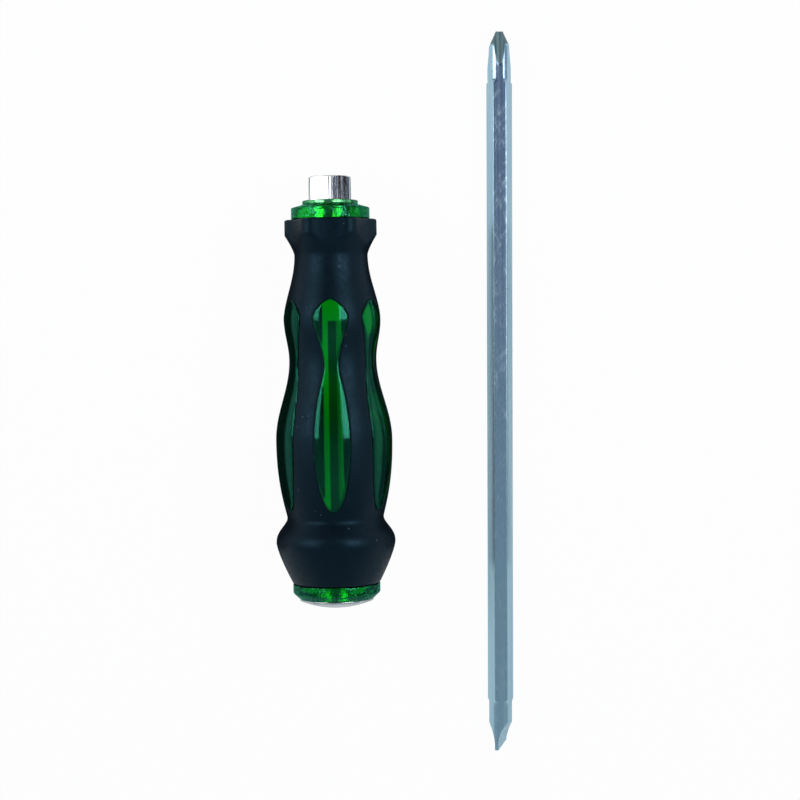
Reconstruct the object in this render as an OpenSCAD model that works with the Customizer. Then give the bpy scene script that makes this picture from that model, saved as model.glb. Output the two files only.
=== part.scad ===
// Two-way strike-through screwdriver, laid apart: the handle on the left, its reversible blade on the right.
// The handle's axis runs along +Y with the nose forward. +Z is up, and both pieces lie on Z = 0.
// The origin is at the middle of the pair, on that surface.

/* [Blade] */
// Size across the flats of the blade's hexagon bar
hex_af = 6; // [5.6:0.1:6.6]
// Size across the rounded corners of the bar
hex_corners = 6.86; // [6.75:0.01:6.9]
// Length of the blade from tip to tip
blade_len = 193.6; // [150:0.1:240]
// Length of the turned neck behind the cross tip, with the tip
cross_end_len = 14; // [12:0.5:20]
// Diameter of that neck where it meets the bar
neck_d = 5.95; // [5.4:0.05:5.95]
// Diameter of that neck where the tip's cone starts
cone_d = 5.9; // [4.8:0.05:5.95]
// Length of the cross tip's cone
cone_len = 4; // [3.5:0.1:6]
// Diameter of the cross tip's flat end
cross_tip_d = 2.16; // [1.8:0.02:2.6]
// Length of the four flutes in the cross tip
flute_len = 9.9; // [8:0.1:11.5]
// Distance from the axis to a flute's root at the tip
flute_root = 0.75; // [0.5:0.05:1]
// Radius of the cutter that leaves a flute
flute_cut_r = 1.5; // [1.2:0.1:2.6]
// Length of the turned end that carries the slotted tip
slot_end_len = 13.8; // [10:0.1:20]
// Diameter of that turned end
slot_end_d = 5.95; // [5.4:0.05:5.95]
// Length of the two hollow ground faces of the slotted tip
grind_len = 8.2; // [6:0.1:9.5]
// Distance from the slotted end to where those faces come closest
grind_back = 1.2; // [0:0.1:2]
// Thickness of the slotted tip
slot_tip_t = 1; // [0.8:0.05:1.4]
// Turn of the slotted tip about the blade, from the bar's upper flat
slot_roll = 65; // [0:1:90]

/* [Socket] */
// Play between the bar and the socket's bore, on each side
bore_gap = 0.1; // [0.05:0.01:0.15]
// How far the blade goes into the handle
insert_depth = 37.7; // [35:0.1:42]
// Length of the socket sleeve
socket_len = 30; // [24:0.5:33]
// Length of the spanner hexagon in front of the nose
nose_hex_len = 6.3; // [5:0.1:9]
// Size across the flats of the spanner hexagon
nose_hex_af = 11; // [10:0.1:12]
// Bevel on the front corners of the spanner hexagon
nose_bevel = 0.6; // [0.3:0.05:1]
// Length of the round flange that seats the socket in the nose
seat_len = 2; // [1.5:0.1:3]
// Length of the sleeve's round part, behind the flange
round_len = 8.7; // [7.5:0.1:11]

/* [Detent] */
// Diameter of the detent ball
ball_d = 2.4; // [2.2:0.05:2.6]
// How far the ball stands into the bore, and so its travel
ball_dip = 0.4; // [0.3:0.05:0.5]
// Running gap round the ball in its hole
ball_gap = 0.03; // [0.02:0.005:0.05]
// Thickness of the spring ring's wire
ring_wire = 0.7; // [0.5:0.05:0.9]
// Open angle of the spring ring
ring_open = 40; // [20:5:80]
// Distance from the nose face back to the ball
ball_back = 7.2; // [5:0.1:9]

/* [Strike parts] */
// Thickness of the flat strike bar, which stands on edge in the bore
bar_t = 1.6; // [1.2:0.1:3]
// Play above and below the strike bar in the bore
bar_play = 0.2; // [0.1:0.05:0.5]
// Radius of the strike cap
cap_r = 9.7; // [8:0.1:9.8]
// Height of the cap's dome
dome_h = 2; // [1.5:0.1:4]
// Height of the cap's straight edge
cap_edge = 0.5; // [0.4:0.05:1]
// Diameter of the cap's stem
stem_d = 10; // [9:0.1:12]
// Length of the cap's stem
stem_len = 7; // [5:0.5:10]
// Thickness of steel between the strike bar's end and the dome
stem_floor = 1; // [0.5:0.1:2]

/* [Core] */
// Radius of the core's tail face
tail_face_r = 9.9; // [9.85:0.05:10.5]
// Radius of the tail stub
stub_r = 11.5; // [11:0.05:12]
// Length of the sloping shoulder at the tail
shoulder_len = 1.55; // [0.8:0.05:2.5]
// Length of the straight tail stub
stub_len = 2.4; // [1.5:0.1:4]
// Radius of the nose flange
flange_r = 10.3; // [9.5:0.05:11]
// Length of the nose flange
flange_len = 3.9; // [3:0.1:5]
// How far the flange's front slopes back from the small disc to the rim
flange_slope = 0.9; // [0.4:0.05:1.5]
// Wall of the small disc round the socket's seat
nose_wall = 0.98; // [0.7:0.02:1.5]
// Length of that small disc
disc_len = 1; // [0.6:0.1:2]

/* [Grip] */
// Thickness of the rubber over the core
rubber_t = 2; // [1.6:0.1:2.1]
// Radius at the tail edge
grip_tail_r = 11.4; // [11:0.1:12.2]
// Length from the tail edge to the guard's crest
guard_rise_len = 10.75; // [9:0.05:13]
// Radius of the guard
guard_r = 15.7; // [15:0.1:17]
// Distance from the axis to the small flats that keep the guard from rolling
guard_flat = 15.45; // [15:0.05:15.65]
// Length from the guard's crest to the waist in front of it
guard_fall_len = 6.85; // [6:0.05:9]
// Radius of that waist
guard_waist_r = 12.65; // [12:0.05:13.2]
// Length from that waist to the palm swell
palm_rise_len = 20.2; // [17:0.1:23]
// Radius of the palm swell
palm_r = 15.3; // [14.5:0.1:16]
// Length from the palm swell to the middle waist
palm_fall_len = 21; // [18:0.1:25]
// Radius of the middle waist
waist_r = 11.46; // [11.2:0.02:12]
// Length from the middle waist to the finger swell
finger_rise_len = 10.6; // [9:0.1:14]
// Radius of the finger swell
finger_r = 12.7; // [12.2:0.05:13.2]
// Length from the finger swell to the neck
finger_fall_len = 17; // [14:0.1:19]
// Radius of the neck
grip_neck_r = 9.62; // [9.4:0.02:10]
// Length from the neck to the collar's full width
flare_len = 5.1; // [4:0.1:7]
// Length of the collar at full width
collar_len = 4.1; // [3:0.1:6]
// Radius of the collar at its lobes
collar_r = 12.1; // [11.6:0.05:13]
// Distance from the axis to the middle of the collar's hollow sides
collar_flat = 10.4; // [10.1:0.05:11]
// Radius of the hollow in each side of the collar
hollow_r = 20; // [15:1:40]

/* [Windows] */
// Half the width of a window at its belly
belly_half = 4.66; // [4.4:0.02:5]
// Half the width of a window at its pinch
pinch_half = 1.92; // [1.4:0.02:2.6]
// Half the width of a window at its head
head_half = 4.54; // [4:0.02:4.8]
// How far a window's belly lies ahead of the palm swell
belly_lead = 0.5; // [0:0.1:2.5]
// How far a window's pinch lies behind the middle waist
pinch_back = 2; // [0:0.1:3]
// How far a window's head lies ahead of the finger swell
head_lead = 0.6; // [0:0.1:1.5]
// Length of the rounded point in front of a window's head
point_len = 4.5; // [4:0.1:6]
// Distance from the guard's waist to a window's foot
foot_gap = 2.1; // [1:0.1:3]
// How far the clear pads stand proud of the rubber
pad_rise = 0.15; // [0.05:0.01:0.3]

/* [Lay] */
// Distance between the handle's axis and the blade's middle
lay_spacing = 44.5; // [40:0.1:60]
// How far the handle's middle lies ahead of the blade's middle
lay_ahead = 1.1; // [-5:0.05:5]
// Angle of the blade to the handle, seen from above
lay_angle = 0.7; // [0:0.1:3]

/* [Hidden] */
$fn = 64;
sides = 6;
turn = 360 / sides;
past = 1;

// Stations along the handle, from the top of the cap's dome to the front of the socket
tail_z = dome_h + cap_edge;
stub_z = tail_z + shoulder_len;
grip_z = stub_z + stub_len;
guard_z = grip_z + guard_rise_len;
guard_waist_z = guard_z + guard_fall_len;
palm_z = guard_waist_z + palm_rise_len;
waist_z = palm_z + palm_fall_len;
finger_z = waist_z + finger_rise_len;
neck_z = finger_z + finger_fall_len;
collar_z = neck_z + flare_len;
grip_end_z = collar_z + collar_len;
flange_z = grip_end_z + flange_len;
disc_z = flange_z + disc_len;
nose_z = disc_z + nose_hex_len;
anvil_z = nose_z - insert_depth;
sleeve_z = nose_z - socket_len;
seat_z = disc_z - seat_len;
round_z = seat_z - round_len;
ball_z = disc_z - ball_back;
bar_z = tail_z + stem_floor;
stem_end_z = tail_z + stem_len;

// Stations of a window
foot_z = guard_waist_z + foot_gap;
belly_z = palm_z + belly_lead;
pinch_z = waist_z - pinch_back;
head_z = finger_z + head_lead;
point_z = head_z + point_len;

// Radii round the socket, from the bore outwards
bore_r = hex_af / 2 + bore_gap;
core_bore_r = bore_r + bore_gap / 2;
ball_r = ball_d / 2;
ball_off = bore_r - ball_dip + ball_r;
groove_r = ball_off + ball_r;
ring_gap = 0.02;
ring_play = 0.1;
sleeve_r = groove_r + ring_gap + ring_wire;
relief_r = sleeve_r + ball_dip + ring_play;
disc_r = relief_r + nose_wall;
groove_half = ring_wire / 2 + ring_play;
relief_z = ball_z - groove_half;

// Places of the two pieces on the surface
blade_reach = hex_corners / 2 + (blade_len / 2 - cross_end_len) * sin(lay_angle);
handle_x = (guard_r - lay_spacing - blade_reach) / 2;
handle_up = max(palm_r + pad_rise, guard_flat);

// Share of the way between two values, and a smooth start and stop
function mix(a, b, t) = a + (b - a) * t;
function ease(t) = (1 - cos(180 * t)) / 2;
function spread(from, to, count) = [for (i = [0 : count - 1]) mix(from, to, i / count)];

// Fullness of the curves: 1 is an even curve, more holds the first radius longer, less leaves it sooner
tail_full = 1.3;
guard_full = 1.26;
palm_full = 2.2;
finger_full = 0.9;
flare_full = 1.3;
belly_full = 0.65;
head_full = 0.77;
point_full = 1.5;

// Outer radius of the grip at a station along the handle
function grip_r(z) =
    z < guard_z ? mix(guard_r, grip_tail_r, pow((guard_z - z) / guard_rise_len, tail_full)) :
    z < guard_waist_z ? mix(guard_r, guard_waist_r, ease(pow((z - guard_z) / guard_fall_len, guard_full))) :
    z < palm_z ? mix(palm_r, guard_waist_r, pow((palm_z - z) / palm_rise_len, palm_full)) :
    z < waist_z ? mix(palm_r, waist_r, ease((z - palm_z) / palm_fall_len)) :
    z < finger_z ? mix(waist_r, finger_r, ease((z - waist_z) / finger_rise_len)) :
    z < neck_z ? mix(finger_r, grip_neck_r, ease(pow((z - finger_z) / finger_fall_len, finger_full))) :
    z < collar_z ? mix(grip_neck_r, collar_r, pow((z - neck_z) / flare_len, flare_full)) : collar_r;

// Radius of the core below the rubber, straight under the guard and under the collar
function core_r(z) = grip_r(min(max(z, guard_waist_z), neck_z)) - rubber_t;

// Half the width of a window at a station
function window_half(z) =
    z < belly_z ? belly_half * sqrt(max(0, 1 - pow((belly_z - z) / (belly_z - foot_z), 2))) :
    z < pinch_z ? mix(pinch_half, belly_half, ease(pow((pinch_z - z) / (pinch_z - belly_z), belly_full))) :
    z < head_z ? mix(head_half, pinch_half, ease(pow((head_z - z) / (head_z - pinch_z), head_full))) :
    head_half * pow(max(0, 1 - pow((z - head_z) / point_len, point_full)), 1 / point_full);

swell_zs = concat(spread(guard_waist_z, palm_z, 9), spread(palm_z, waist_z, 9),
                  spread(waist_z, finger_z, 5), spread(finger_z, neck_z, 8));
grip_zs = concat(spread(grip_z, guard_z, 6), spread(guard_z, guard_waist_z, 8), swell_zs,
                 spread(neck_z, collar_z, 5), [collar_z, grip_end_z]);
window_zs = concat([for (a = [15 : 15 : 75]) belly_z - (belly_z - foot_z) * cos(a)],
                   spread(belly_z, pinch_z, 7), spread(pinch_z, head_z, 6),
                   [for (a = [0 : 18 : 72]) head_z + point_len * sin(a)]);

// Stands the handle's own axis along +Y, at its place on the surface
module on_handle() {
    handle_y = lay_ahead - nose_z / 2;
    translate([handle_x, handle_y, handle_up]) rotate([-90, 0, 0]) children();
}

// Repeats a shape that faces +X round the axis, the first facing up
module around() {
    for (i = [0 : sides - 1]) rotate([0, 0, turn * i - 90]) children();
}

// A six-sided bar along the axis, with its corners on the X axis
module hex_bar(flat_r, h) {
    cylinder(r = flat_r / cos(turn / 2), h = h, $fn = sides);
}

// Six prisms in the outline of the windows, from inside the core to past the rubber
module window_prisms() {
    inner = waist_r - rubber_t - past;
    height = palm_r + past - inner;
    right = [for (z = window_zs) [window_half(z), z]];
    left = [for (i = [len(window_zs) - 1 : -1 : 0]) [-window_half(window_zs[i]), window_zs[i]]];
    outline = concat([[0, foot_z]], right, [[0, point_z]], left);
    around() translate([inner, 0, 0]) rotate([90, 0, 90]) linear_extrude(height) polygon(outline);
}

// The clear core below the rubber, with the tail stub, nose flange and disc
module core_body() {
    waist = [for (z = swell_zs) [core_r(z), z]];
    rotate_extrude() polygon(concat(
        [[0, tail_z], [tail_face_r, tail_z], [stub_r, stub_z], [stub_r, grip_z], [core_r(grip_z), grip_z]],
        waist,
        [[core_r(neck_z), neck_z], [core_r(neck_z), grip_end_z], [flange_r, grip_end_z],
         [flange_r, flange_z - flange_slope], [disc_r, flange_z], [disc_r, disc_z], [0, disc_z]]));
}

// The space that the rubber leaves for the core, open at both ends
module core_space() {
    waist = [for (z = swell_zs) [core_r(z), z]];
    rotate_extrude() polygon(concat(
        [[0, grip_z - past], [core_r(grip_z), grip_z - past]], waist,
        [[core_r(neck_z), neck_z], [core_r(neck_z), grip_end_z + past], [0, grip_end_z + past]]));
}

// A solid a little larger than the swells of the grip, which caps the pads
module pad_limit() {
    rotate_extrude() polygon(concat(
        [[0, guard_waist_z]], [for (z = swell_zs) [grip_r(z) + pad_rise, z]],
        [[grip_neck_r + pad_rise, neck_z], [0, neck_z]]));
}

// The clear green core: one moulding with pads that fill the windows
module handle_core() {
    color("limegreen") on_handle() difference() {
        union() {
            core_body();
            intersection() {
                window_prisms();
                pad_limit();
            }
        }
        translate([0, 0, tail_z - past]) cylinder(d = stem_d, h = stem_len + past);
        translate([0, 0, stem_end_z - past]) hex_bar(core_bore_r, sleeve_z - stem_end_z + 2 * past);
        translate([0, 0, sleeve_z]) cylinder(r = sleeve_r, h = round_z - sleeve_z + past, $fn = sides);
        translate([0, 0, round_z]) cylinder(r = sleeve_r, h = seat_z - round_z);
        translate([0, 0, relief_z]) cylinder(r = relief_r, h = disc_z - relief_z + past);
    }
}

// The black rubber over the core, with windows, a hollow-sided collar and small flats on the guard
module rubber_grip() {
    side = [for (z = grip_zs) [grip_r(z), z]];
    color("midnightblue") on_handle() difference() {
        rotate_extrude() polygon(concat([[0, grip_z]], side, [[0, grip_end_z]]));
        core_space();
        window_prisms();
        around() translate([collar_flat + hollow_r, 0, neck_z])
            cylinder(r = hollow_r, h = grip_end_z + past - neck_z);
        around() translate([guard_flat, -guard_r, grip_z])
            cube([guard_r, 2 * guard_r, guard_waist_z - grip_z]);
    }
}

// The spanner hexagon in front of the nose, one corner up. A ball rounds off its front corners: it meets
// each corner nose_bevel behind the front face, and the front face twice that far inside the corners.
module nose_hexagon() {
    corner_r = nose_hex_af / 2 / cos(turn / 2);
    round_back = 2 * corner_r - 1.5 * nose_bevel;
    round_r = sqrt(pow(corner_r - 2 * nose_bevel, 2) + pow(round_back, 2));
    intersection() {
        translate([0, 0, disc_z]) rotate([0, 0, turn / 2]) hex_bar(nose_hex_af / 2, nose_hex_len);
        translate([0, 0, nose_z - round_back]) sphere(r = round_r);
    }
}

// The steel sleeve: the spanner hexagon, a flange, a round part and a hexagon that can't turn in the core
module hex_socket() {
    lead = 4 * bore_gap;
    lead_r = bore_r / cos(turn / 2) + lead;
    color("silver") on_handle() difference() {
        union() {
            translate([0, 0, sleeve_z]) cylinder(r = sleeve_r, h = round_z - sleeve_z, $fn = sides);
            translate([0, 0, round_z]) cylinder(r = sleeve_r, h = seat_z - round_z);
            translate([0, 0, seat_z]) cylinder(r = relief_r, h = seat_len);
            nose_hexagon();
        }
        translate([0, 0, sleeve_z - past]) hex_bar(bore_r, socket_len + 2 * past);
        translate([0, 0, nose_z - lead]) cylinder(r1 = bore_r, r2 = lead_r, h = 2 * lead);
        translate([0, 0, ball_z - groove_half]) difference() {
            cylinder(r = sleeve_r + past, h = 2 * groove_half);
            cylinder(r = groove_r, h = 2 * groove_half);
        }
        translate([0, 0, ball_z]) rotate([90, 0, 0]) ball_hole();
    }
}

// The hole for the ball: a narrow mouth at the bore, a cone that stops the ball and a straight bore for it
module ball_hole() {
    hole_r = ball_r + ball_gap;
    mouth_r = sqrt(ball_r * ball_r - pow(ball_r - ball_dip, 2)) + ball_gap;
    cylinder(r = mouth_r, h = bore_r + ring_gap);
    translate([0, 0, bore_r]) cylinder(r1 = mouth_r, r2 = hole_r, h = ball_dip);
    translate([0, 0, bore_r + ball_dip]) cylinder(r = hole_r, h = groove_r - bore_r);
}

// The ball that holds the blade, at rest against its cone
module detent_ball() {
    color("gainsboro") on_handle() translate([0, -ball_off, ball_z]) sphere(d = ball_d);
}

// The open spring ring in the socket's groove, with its gap below
module detent_spring() {
    color("slategray") on_handle() translate([0, 0, ball_z]) rotate([0, 0, 90 + ring_open / 2])
        rotate_extrude(angle = 360 - ring_open)
            translate([groove_r + ring_gap, -ring_wire / 2]) square(ring_wire);
}

// A flat bar on edge, of a length, from its seat in the cap
module bar_blank(h) {
    bar_w = 2 * (core_bore_r - bar_play);
    translate([-bar_t / 2, -bar_w / 2, bar_z]) cube([bar_t, bar_w, h]);
}

// The flat steel bar between the cap and the blade
module strike_bar() {
    color("gray") on_handle() bar_blank(anvil_z - bar_z);
}

// The domed steel cap with its stem
module strike_cap() {
    dome_r = (cap_r * cap_r + dome_h * dome_h) / (2 * dome_h);
    color("lightgray") on_handle() difference() {
        union() {
            intersection() {
                translate([0, 0, dome_r]) sphere(r = dome_r);
                cylinder(r = cap_r, h = tail_z);
            }
            translate([0, 0, tail_z - cap_edge / 2]) cylinder(d = stem_d, h = stem_len + cap_edge / 2);
        }
        bar_blank(stem_len);
    }
}

// The hexagon bar with both turned ends, before its tips are cut
module blade_bar() {
    cross_z = blade_len - cross_end_len;
    translate([0, 0, slot_end_len]) intersection() {
        hex_bar(hex_af / 2, cross_z - slot_end_len);
        cylinder(d = hex_corners, h = cross_z - slot_end_len);
    }
    cylinder(d = slot_end_d, h = slot_end_len + past);
    rotate_extrude() polygon([
        [0, cross_z - past], [neck_d / 2, cross_z - past], [neck_d / 2, cross_z],
        [cone_d / 2, blade_len - cone_len], [cross_tip_d / 2, blade_len], [0, blade_len]]);
}

// One flute of the cross tip, facing +X: a round cut that runs out along the neck
module flute() {
    rise = atan((cone_d / 2 - flute_root) / flute_len);
    reach = 2 * flute_len;
    translate([flute_root, 0, blade_len]) rotate([0, -rise, 0])
        translate([flute_cut_r, 0, -reach]) cylinder(r = flute_cut_r, h = 2 * reach);
}

// One ground face of the slotted tip, facing +Y: what a round wheel leaves that just meets the turned end
module grind() {
    run = grind_len - grind_back;
    rise = (slot_end_d - slot_tip_t) / 2;
    wheel_r = (run * run + rise * rise) / (2 * rise);
    translate([-hex_corners, slot_tip_t / 2 + wheel_r, grind_back]) rotate([0, 90, 0])
        cylinder(r = wheel_r, h = 2 * hex_corners);
}

// The reversible blade, lying on one flat beside the handle
module blade() {
    blade_x = handle_x + lay_spacing;
    color("lightsteelblue") translate([blade_x, 0, hex_af / 2]) rotate([0, 0, -lay_angle]) rotate([-90, 0, 0])
        translate([0, 0, -blade_len / 2]) difference() {
            blade_bar();
            for (i = [0 : 3]) rotate([0, 0, 90 * i]) flute();
            rotate([0, 0, slot_roll]) for (i = [0, 1]) rotate([0, 0, 180 * i]) grind();
        }
}

handle_core();
rubber_grip();
hex_socket();
detent_ball();
detent_spring();
strike_bar();
strike_cap();
blade();
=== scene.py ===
# %% [markdown]
# A two-way strike-through screwdriver, laid apart
#
# The real tool is a clear green moulding in a black rubber sleeve, with a steel bar from the cap to the
# blade. Its blade is a loose hexagon bar with a cross tip and a slotted tip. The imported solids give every
# place and size. This lesson keeps them as a fixed frame and rebuilds each piece that shows as a smooth
# surface in the same place.

# %% Load the frame
import math

import bmesh
import bpy
import numpy as np
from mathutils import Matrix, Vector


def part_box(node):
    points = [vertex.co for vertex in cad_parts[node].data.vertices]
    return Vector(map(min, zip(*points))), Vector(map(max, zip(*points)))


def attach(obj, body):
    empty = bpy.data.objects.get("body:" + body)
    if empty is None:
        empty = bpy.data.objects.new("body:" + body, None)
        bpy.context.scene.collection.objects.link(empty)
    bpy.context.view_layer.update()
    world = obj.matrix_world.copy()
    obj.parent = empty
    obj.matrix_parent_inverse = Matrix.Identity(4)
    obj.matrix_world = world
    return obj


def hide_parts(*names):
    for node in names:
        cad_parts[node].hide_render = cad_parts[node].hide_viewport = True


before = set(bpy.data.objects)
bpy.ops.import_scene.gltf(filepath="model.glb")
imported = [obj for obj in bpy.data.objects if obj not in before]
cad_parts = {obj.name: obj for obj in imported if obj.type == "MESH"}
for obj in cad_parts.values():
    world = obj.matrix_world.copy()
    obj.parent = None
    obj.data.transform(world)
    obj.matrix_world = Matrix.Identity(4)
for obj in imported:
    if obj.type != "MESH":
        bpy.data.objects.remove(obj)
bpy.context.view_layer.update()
MM = 0.001

# %% [markdown]
# The camera
#
# The tool was photographed from almost straight above, so the camera needs a point to aim at, a distance, a
# lens, a small turn and a small lean. The lens comes from how much larger the high handle looks than the low
# blade. The distance follows from the lens and from the pixels that a millimetre takes on the blade's axis.
# The lean shows in the round edges at the handle's ends and in the blade, which looks wider at its top.

# %% Hang the camera over the tool
IMAGE_PX = 800
FOCAL_PX = 1800.0
BLADE_PX_PER_MM = 3.70
SENSOR_MM = 36.0
AIM_X = 0.86
AIM_Y = -1.57
CAMERA_TURN = math.radians(-0.95)
CAMERA_LEAN = math.radians(2.0)


def add_object(name, data):
    """A new object with the given data, linked into the scene."""
    made = bpy.data.objects.new(name, data)
    bpy.context.scene.collection.objects.link(made)
    return made


blade_low, blade_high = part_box("blade")
blade_axis_z = (blade_low.z + blade_high.z) / 2 / MM

camera_data = bpy.data.cameras.new("camera_above")
camera_data.sensor_width = SENSOR_MM
camera_data.lens = SENSOR_MM * FOCAL_PX / IMAGE_PX
camera = add_object("camera_above", camera_data)
camera_distance = FOCAL_PX / BLADE_PX_PER_MM
back = camera_distance * math.sin(CAMERA_LEAN)
camera_x = AIM_X - back * math.sin(CAMERA_TURN)
camera_y = AIM_Y + back * math.cos(CAMERA_TURN)
camera_z = blade_axis_z + camera_distance * math.cos(CAMERA_LEAN)
camera.location = (camera_x * MM, camera_y * MM, camera_z * MM)
camera.rotation_euler = (-CAMERA_LEAN, 0.0, CAMERA_TURN)
bpy.context.scene.camera = camera
bpy.context.scene.view_settings.view_transform = "Standard"
print("lens in mm:", round(camera_data.lens, 2), "height in mm:", round(camera_z, 1))

# %% [markdown]
# Small helpers for node trees
#
# Every finish below is a tree of shader nodes. One helper adds a node, sets its properties and fills its
# inputs with plain values or with links from other nodes. The short ones take a socket, work in its tree and
# return another. A node group holds one effect, such as scratches, which is then built once and used in
# several finishes.

# %% Helpers for nodes
def add_node(tree, kind, inputs=None, **settings):
    """Add a node of a kind, set its properties, then give each named input a value or a link."""
    made = tree.nodes.new(kind)
    for key, value in settings.items():
        setattr(made, key, value)
    for key, value in (inputs or {}).items():
        if isinstance(value, bpy.types.NodeSocket):
            tree.links.new(value, made.inputs[key])
        else:
            made.inputs[key].default_value = value
    return made


def math_node(operation, first, second):
    """One sum, difference or comparison of two values."""
    return add_node(first.id_data, "ShaderNodeMath", {0: first, 1: second}, operation=operation).outputs[0]


def times(first, second):
    """The product of two values."""
    return math_node("MULTIPLY", first, second)


def off_middle(value, middle):
    """How far a value lies from a middle value, on either side."""
    away = math_node("SUBTRACT", value, middle)
    return add_node(away.id_data, "ShaderNodeMath", {0: away}, operation="ABSOLUTE").outputs[0]


def spread(value, low, high, to_low=0.0, to_high=1.0):
    """Stretch a value from one span to another and hold it at the ends."""
    spans = {"Value": value, "From Min": low, "From Max": high, "To Min": to_low, "To Max": to_high}
    return add_node(value.id_data, "ShaderNodeMapRange", spans, clamp=True).outputs["Result"]


def split(vector):
    """The X, Y and Z parts of a vector, as sockets."""
    return add_node(vector.id_data, "ShaderNodeSeparateXYZ", {0: vector}).outputs


def noise_value(vector, scale, **more):
    """A noise pattern on a vector, from 0 to 1 and mostly near the middle."""
    inputs = {"Vector": vector, "Scale": scale, **more}
    return add_node(vector.id_data, "ShaderNodeTexNoise", inputs).outputs[0]


def blend(share, first, second):
    """Mix two colours by a share from 0 to 1. The node keeps its colours at 6, 7 and 2."""
    inputs = {0: share, 6: first, 7: second}
    return add_node(share.id_data, "ShaderNodeMix", inputs, data_type="RGBA").outputs[2]


def start_group(name, numbers, outputs):
    """A node group with a Vector input, number inputs with their defaults, and number outputs."""
    tree = bpy.data.node_groups.new(name, "ShaderNodeTree")
    tree.interface.new_socket("Vector", in_out="INPUT", socket_type="NodeSocketVector")
    for label, default in numbers.items():
        socket = tree.interface.new_socket(label, in_out="INPUT", socket_type="NodeSocketFloat")
        socket.default_value = default
    for label in outputs:
        tree.interface.new_socket(label, in_out="OUTPUT", socket_type="NodeSocketFloat")
    return tree, tree.nodes.new("NodeGroupInput").outputs, tree.nodes.new("NodeGroupOutput")


def use_group(group, vector, **numbers):
    """Place a group in a material with its own values, and return its outputs."""
    inputs = {"Vector": vector, **numbers}
    return add_node(vector.id_data, "ShaderNodeGroup", inputs, node_tree=group).outputs


print("node helpers ready")

# %% [markdown]
# The shared effects
#
# Four effects give the finishes their unevenness and wear. Moulded grain is what a mould leaves. Drawn lines
# are the long marks of a drawn or ground bar. Stray scratches come from use, and dust specks show on the
# black. Each is a noise pattern on Object coordinates, so it stays put on its piece.

# %% Moulded grain
GRAIN_SHARES = {"Mottle": 0.4, "Patches": 0.05}
GRAIN_LOW, GRAIN_HIGH = 0.3, 0.7


def build_moulded_grain():
    """The same noise at two shares of a scale: the finer one for a mottle, the coarser one for patches."""
    tree, given, result = start_group("moulded_grain", {"Scale": 2000.0}, GRAIN_SHARES)
    for label, share in GRAIN_SHARES.items():
        scale = times(given["Scale"], share)
        noise = noise_value(given["Vector"], scale, Detail=3.0)
        tree.links.new(spread(noise, GRAIN_LOW, GRAIN_HIGH), result.inputs[label])
    return tree


moulded_grain = build_moulded_grain()
print("group:", moulded_grain.name)

# %% Drawn lines
LINES_LOW, LINES_HIGH = 0.25, 0.75


def build_drawn_lines():
    """Noise that changes quickly across the bar and slowly along Y, so that it reads as lines."""
    tree, given, result = start_group("drawn_lines", {"Across": 3000.0, "Along": 30.0}, ("Lines",))
    scale = add_node(tree, "ShaderNodeCombineXYZ",
                     {"X": given["Across"], "Y": given["Along"], "Z": given["Across"]})
    long_space = add_node(tree, "ShaderNodeVectorMath",
                          {0: given["Vector"], 1: scale.outputs[0]}, operation="MULTIPLY")
    noise = noise_value(long_space.outputs[0], 1.0, Detail=4.0, Roughness=0.65)
    tree.links.new(spread(noise, LINES_LOW, LINES_HIGH), result.inputs["Lines"])
    return tree


drawn_lines = build_drawn_lines()
print("group:", drawn_lines.name)

# %% Stray scratches
NOISE_MIDDLE = 0.5
SCRATCH_ANGLES = (14.0, -24.0, 38.0)
SCRATCH_STRETCH = (1.0, 0.06, 1.0)
SCRATCH_WIDTH = 0.035
PATCH_SHARE, PATCH_FROM, PATCH_TO = 0.6, 0.42, 0.6


def build_stray_scratches():
    """Thin level lines of a stretched noise, at a few angles about Z, kept only in patches."""
    tree, given, result = start_group("stray_scratches", {"Scale": 500.0, "Amount": 0.5}, ("Mask",))
    total = 0.0
    for angle in SCRATCH_ANGLES:
        rotated = add_node(tree, "ShaderNodeVectorRotate",
                           {"Vector": given["Vector"], "Angle": math.radians(angle)}, rotation_type="Z_AXIS")
        stretched = add_node(tree, "ShaderNodeVectorMath",
                             {0: rotated.outputs[0], 1: SCRATCH_STRETCH}, operation="MULTIPLY")
        noise = noise_value(stretched.outputs[0], given["Scale"], Detail=1.0)
        off_line = off_middle(noise, NOISE_MIDDLE)
        total = math_node("ADD", spread(off_line, 0.0, SCRATCH_WIDTH, 1.0, 0.0), total)
    patch = noise_value(given["Vector"], times(given["Scale"], PATCH_SHARE))
    kept = spread(patch, PATCH_FROM, PATCH_TO)
    amount = times(kept, given["Amount"])
    mask = times(total, amount)
    tree.links.new(spread(mask, 0.0, 1.0), result.inputs["Mask"])
    return tree


stray_scratches = build_stray_scratches()
print("group:", stray_scratches.name)

# %% Dust specks
def build_dust_specks():
    """A speck round the middle of each cell of a random cell pattern, kept only in a share of the cells."""
    numbers = {"Scale": 900.0, "Amount": 0.1, "Size": 0.12}
    tree, given, result = start_group("dust_specks", numbers, ("Mask",))
    cells = add_node(tree, "ShaderNodeTexVoronoi", {"Vector": given["Vector"], "Scale": given["Scale"]})
    speck = math_node("LESS_THAN", cells.outputs["Distance"], given["Size"])
    chance = add_node(tree, "ShaderNodeSeparateColor", {"Color": cells.outputs["Color"]})
    kept = math_node("LESS_THAN", chance.outputs[0], given["Amount"])
    tree.links.new(times(speck, kept), result.inputs["Mask"])
    return tree


dust_specks = build_dust_specks()
print("group:", dust_specks.name)

# %% [markdown]
# The finishes
#
# The handle has four: rubber, clear plastic, the bright plate of the socket and the softer plate of the cap.
# The blade's plate is duller and drawn, and the bar inside is plain oiled steel. Each starts from a
# Principled shader. What is the same all over sits on its sockets, and what changes over the surface comes
# from the effects above. The rubber and the plastic mix a second shader in.

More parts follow.
